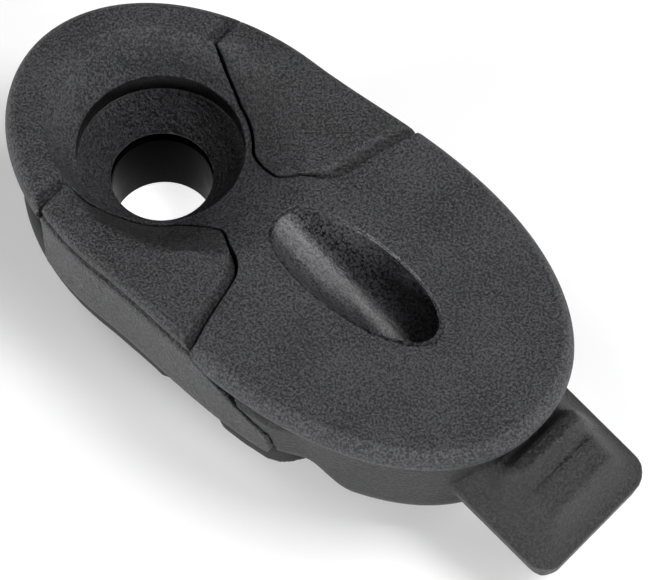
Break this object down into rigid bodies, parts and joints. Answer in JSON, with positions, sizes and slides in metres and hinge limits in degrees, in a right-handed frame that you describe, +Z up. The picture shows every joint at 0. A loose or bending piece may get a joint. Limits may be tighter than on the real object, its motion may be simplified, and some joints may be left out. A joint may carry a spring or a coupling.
{
  "type": "cleat horn",
  "caption": "Oval deck fitting with a countersunk screw hole, a slanted line channel, two sprung side cheeks and a sloping tongue under one end.",
  "frame": {"origin": "on the screw axis at the end of the screw boss, the lowest point of the part", "axes": "+X towards the tongue along the long axis, +Z up out of the visible top face"},
  "size_m": [0.0475, 0.022, 0.0125],
  "materials": {
    "grained_nylon": "fine spark-eroded grain",
    "satin_nylon": "satin",
    "smooth_sleeve": "smooth gloss",
    "black_rubber": "matt",
    "pin_steel": "ground"
  },
  "bodies": {
    "fitting": {"top_cover": "grained_nylon", "hull": "satin_nylon", "cheek_pin_left": "pin_steel", "cheek_pin_right": "pin_steel", "screw_sleeve": "smooth_sleeve", "base_gasket": "black_rubber"},
    "left_arm": {"cheek_left": "satin_nylon"},
    "right_arm": {"cheek_right": "satin_nylon"}
  },
  "joints": [
    {"name": "left_cheek_hinge", "type": "hinge", "parent": "fitting", "child": "left_arm", "pos_m": [-0.0026, 0.007, 0.0086], "axis": [0, 0, -1], "range_deg": [0, 1.2], "stiffness_Nm_per_rad": 0.2},
    {"name": "right_cheek_hinge", "type": "hinge", "parent": "fitting", "child": "right_arm", "pos_m": [-0.0026, -0.007, 0.0086], "axis": [0, 0, 1], "range_deg": [0, 1.2], "stiffness_Nm_per_rad": 0.2}
  ]
}
